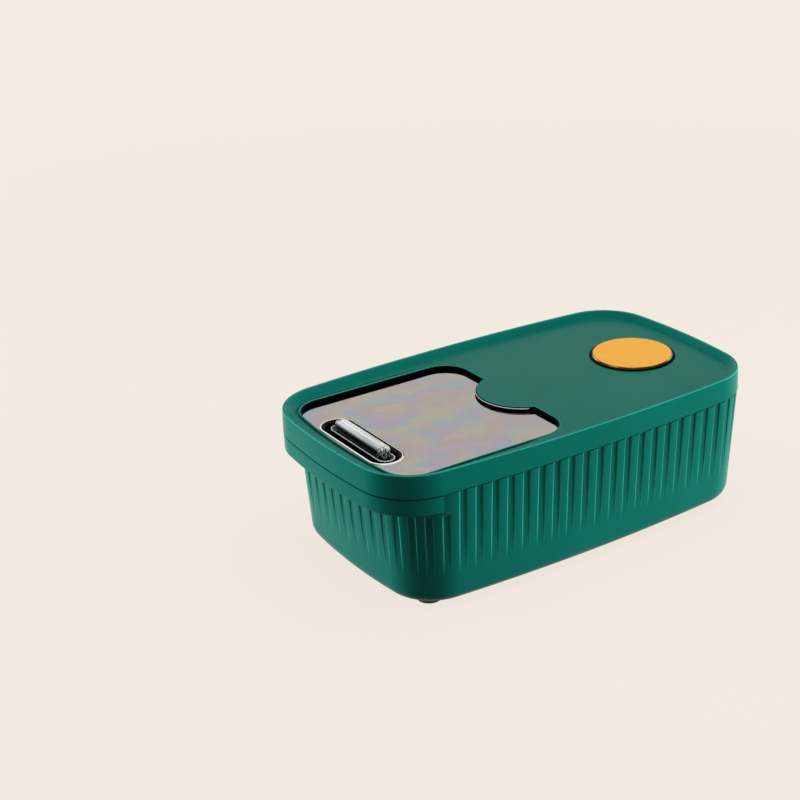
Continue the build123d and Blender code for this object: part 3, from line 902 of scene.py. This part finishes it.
def stadium_path(length, width, shift=0.0):
    """Outline with half-round ends, lengthwise along X, at the grip's place or shifted back from it."""
    end = width / 2
    x, y = length / 2 - end, grip_y + shift
    return np.concatenate([arc_points((x, y), end, -90, 90, 33), arc_points((-x, y), end, 90, 270, 33)])


def bar_path():
    """Outline of the bar with small round corners, lengthwise along X, shifted back from the grip's place."""
    x, y = bar_length / 2 - bar_corner, bar_width / 2 - bar_corner
    turns = ((x, -y, -90), (x, y, 0), (-x, y, 90), (-x, -y, 180))
    middle_y = grip_y + bar_shift
    return np.concatenate([arc_points((cx, middle_y + cy), bar_corner, turn, turn + 90, 7) for cx, cy, turn in turns])


def make_grip():
    """Finger grip: bright rim, a tray painted dark as the shade of the bin seen through clear plastic, a low island
    with a pale painted highlight line and a clear bar on it.

    Each is a profile carried round its own outline. The rim's crest is a painted highlight line, wider at the front
    and the ends, with painted shade beside it.
    """
    # Finish numbers: painted highlight, painted shade, the clear bar, painted highlight line
    bright, dark, clear, pale = range(4)
    rim_path = stadium_path(grip_length, grip_width)
    rim = rounded_profile(
        [(rim_offset, panel_top_z), (0.9, rim_crest_z), (rim_line_outer, rim_crest_z), (rim_line_inner, rim_crest_z),
         (-1.25, rim_crest_z), tray_edge], (0.4, 0.0, 0.0, 0.3), 5)
    way_back = path_offsets(rim_path)[:, 1]
    at_rear = (way_back + np.roll(way_back, -1)) / 2 > rim_rear_turn
    middle = column((rim[1:, 0] + rim[:-1, 0]) / 2)
    # Painted shade on the rim inside its bright line all round, and outside it at the rear
    in_shade = (middle < rim_line_inner) | (middle > rim_line_outer) & at_rear
    rim_paints = np.where(in_shade, dark, bright).ravel()
    tray = rounded_profile([tray_edge, (-3.2, 119.0), (-3.5, tray_floor_z), (-4.7, tray_floor_z)], (0.6, 0.9), 4)
    tray_rows = profile_along(rim_path, tray)
    under_rows = profile_along(rim_path, [(rim_offset, panel_top_z), (tray_under_offset, panel_top_z),
                                          (tray_under_offset, tray_under_z)])
    island_path = stadium_path(island_length, island_width, island_shift)
    foot_rows = profile_along(island_path, [(0.0, tray_floor_z), (0.0, island_line_z)])
    line = rounded_profile([(0.0, island_line_z), (0.0, island_top_z), (-island_line_width, island_top_z)], (0.25,), 4)
    line_rows = profile_along(island_path, line)
    floor = sheet_block(tray_rows[-1], [foot_rows[0]], tray_floor_z)
    side_rows = profile_along(bar_path(), [(0.0, bar_foot_z), (0.0, bar_middle_z), (0.0, bar_shoulder_z)])
    crest = rounded_profile([(0.0, bar_shoulder_z), (0.0, bar_top_z), (-bar_crest_inset, bar_top_z)],
                            (bar_crest_rounding,), 8)
    crest_rows = profile_along(bar_path(), crest)
    return [
        (*grid_block(profile_along(rim_path, rim)), rim_paints), (*grid_block(tray_rows), dark), (*floor, dark),
        (*grid_block(under_rows), dark), (*cap_block(under_rows[-1]), dark), (*grid_block(foot_rows), dark),
        (*grid_block(line_rows), pale), (*cap_block(line_rows[-1]), dark), (*cap_block(side_rows[0]), clear),
        (*grid_block(side_rows), clear), (*grid_block(crest_rows), clear), (*cap_block(crest_rows[-1]), clear),
    ]


def make_cap():
    """Gold cap: a satin disc with a thin line of painted shade, a bright bevel with painted glints and a slanted edge
    in painted shade, over a hollow plug.

    Each is a profile of (radius, level) turned about the cap's axis.
    """
    gold, polish, painted_dark = range(3)
    disc = [(cap_pole, cap_top_z), (20.0, cap_top_z), (cap_disc_radius, cap_top_z)]
    # The thin line round the disc and the slanted edge take painted shade
    line = [disc[-1], (36.5, 126.38), (36.75, 126.3)]
    bevel = [line[-1], (37.0, 126.0), (37.2, 125.6)]
    edge = [bevel[-1], (37.4, 125.1), (37.5, cap_under_z), (plug_radius, cap_under_z)]
    plug = [edge[-1], (plug_radius, plug_under_z), (plug_inner_radius, plug_under_z),
            (plug_inner_radius, cap_under_z), (cap_pole, cap_under_z)]
    profiles = (disc, line, bevel, edge, plug)
    disc, line, bevel, edge, plug = (turned(rows, (0.0, cap_y), cap_stations) for rows in profiles)
    return [(*grid_block(disc), gold), (*cap_block(disc[0]), gold), (*grid_block(line), painted_dark),
            (*grid_block(bevel), polish), (*grid_block(edge), painted_dark), (*grid_block(plug), polish),
            (*cap_block(plug[-1]), polish)]


grip_finishes = [grip_bright, grip_painted_shade, grip_bar, grip_painted_line]
cap_finishes = [cap_gold, cap_edge, cap_painted_shade]
make_piece("tub_shell", "tub", make_tub_shell(), [green_ribbed], ["bin_tub"])
make_piece("pull_lip", "tub", make_pull_lip(), [green_ribbed])
make_piece("seal_neck", "tub", make_neck(), [green_plastic])
make_piece("lid_shell", "lid", make_lid_shell(), [green_plastic, painted_edge_highlight], ["lid_cover"])
make_piece("cutout_bezel", "lid", make_bezel(), [black_plastic, bezel_polish], ["window_bezel"])
make_piece("finger_grip", "window", make_grip(), grip_finishes, ["window_grip"])
make_piece("gold_cap", "cap", make_cap(), cap_finishes, ["repellent_cap"])

# Finishes of the pieces that keep their CAD shape
finishes = {
    "foot_front_left": foot_rubber, "foot_front_right": foot_rubber,
    "foot_rear_left": foot_rubber, "foot_rear_right": foot_rubber,
    "lid_gasket": seal_rubber, "window_seal": seal_rubber, "cap_seal": seal_rubber,
    "repellent_cup": black_plastic,
    "runner_frame": frame_plastic, "frame_screws": screw_steel,
    "window_panel": window_painted_sheen,
}
for node_name, finish in finishes.items():
    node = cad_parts[node_name]
    node.data.materials.clear()
    node.data.materials.append(finish)

# Camera as the photograph was taken: angles, distance in metres, and focal length and centre in pixels
azimuth, elevation, roll = math.radians(54.33), math.radians(25.52), math.radians(-0.90)
aim = Vector((0.0, 0.0, 0.065))
camera_distance = 1.48386
photo_size = 800
focal_pixels = 1662.92
centre_x, centre_y = 516.57, 450.79
sensor_width = 36.0
back = Vector((math.sin(azimuth) * math.cos(elevation), -math.cos(azimuth) * math.cos(elevation), math.sin(elevation)))
level_right = Vector((math.cos(azimuth), math.sin(azimuth), 0.0))
level_up = back.cross(level_right)
right = level_right * math.cos(roll) + level_up * math.sin(roll)
up = -level_right * math.sin(roll) + level_up * math.cos(roll)
camera_data = bpy.data.cameras.new("camera")
camera_data.sensor_width = sensor_width
camera_data.lens = sensor_width * focal_pixels / photo_size
camera_data.shift_x = (photo_size / 2 - centre_x) / photo_size
camera_data.shift_y = (centre_y - photo_size / 2) / photo_size
camera = bpy.data.objects.new("camera", camera_data)
bpy.context.scene.collection.objects.link(camera)
turn = Matrix((right, up, back)).transposed().to_4x4()
camera.matrix_world = Matrix.Translation(aim + back * camera_distance) @ turn
bpy.context.scene.camera = camera


def add_softbox(name, spot, width, height, level):
    """Soft light that faces the bin; level is the share of full brightness that it gives a face turned to it."""
    light = bpy.data.lights.new(name, "AREA")
    light.shape = "RECTANGLE"
    light.size = width
    light.size_y = height
    place = Vector(spot)
    gap = place - aim
    light.energy = level * math.pi**2 * gap.length_squared
    box = bpy.data.objects.new(name, light)
    box.matrix_world = Matrix.Translation(place) @ gap.to_track_quat("Z", "Y").to_matrix().to_4x4()
    box.visible_glossy = False
    bpy.context.scene.collection.objects.link(box)


add_softbox("softbox_top", (0.1, 0.2, 1.7), width=1.2, height=1.2, level=0.66)
add_softbox("softbox_left", (-1.55, -1.3, 0.11), width=0.8, height=0.2, level=1.5)
add_softbox("softbox_right", (0.95, 1.92, 0.11), width=1.5, height=0.2, level=1.75)
add_softbox("softbox_near", (1.3, -0.95, 0.5), width=1.0, height=1.0, level=0.05)

# World: a cool fill on the bin, and a cream backdrop for the eye and for reflections
cream = (0.896, 0.823, 0.752)
world = bpy.data.worlds.new("studio")
bpy.context.scene.world = world
world.use_nodes = True
sky = world.node_tree
sky.nodes.clear()
fill = add_node(sky, "ShaderNodeBackground", {"Color": (0.90, 1.0, 1.12, 1.0), "Strength": 0.19})
backdrop = add_node(sky, "ShaderNodeBackground", {"Color": (*cream, 1.0), "Strength": 1.0})
either = {0: seen_share(sky), 1: fill.outputs[0], 2: backdrop.outputs[0]}
both = add_node(sky, "ShaderNodeMixShader", either)
add_node(sky, "ShaderNodeOutputWorld", {"Surface": both.outputs[0]})

# Floor: it takes the bin's shadow near by and fades into the backdrop further out
floor_half = 6.0
fade_start, fade_end = 0.9, 1.5
floor_mesh = bpy.data.meshes.new("floor")
floor_corners = [(x * floor_half, y * floor_half, 0.0) for x, y in ((-1, -1), (1, -1), (1, 1), (-1, 1))]
floor_mesh.from_pydata(floor_corners, [], [(0, 1, 2, 3)])
floor = bpy.data.objects.new("floor", floor_mesh)
bpy.context.scene.collection.objects.link(floor)
floor_paint, floor_tree, floor_shader, floor_place = new_material("floor_paint", Roughness=1.0, Specular_IOR_Level=0.0)
floor_reach = add_node(floor_tree, "ShaderNodeVectorMath", {0: floor_place}, operation="LENGTH").outputs["Value"]
floor_fade = spread(floor_tree, floor_reach, 0.0, 1.0, bottom=fade_start, top=fade_end)
floor_colour = tint(floor_tree, floor_fade, (0.07, 0.064, 0.059), (0.0, 0.0, 0.0))
floor_tree.links.new(floor_colour, floor_shader.inputs["Base Color"])
floor_shader.inputs["Emission Color"].default_value = (*cream, 1.0)
floor_glow = spread(floor_tree, floor_fade, 0.93, 1.0, bottom=0.0, top=1.0)
floor_seen = reckon(floor_tree, "MULTIPLY", seen_share(floor_tree), floor_glow)
floor_tree.links.new(floor_seen, floor_shader.inputs["Emission Strength"])
floor_mesh.materials.append(floor_paint)

bpy.context.scene.view_settings.view_transform = "Standard"
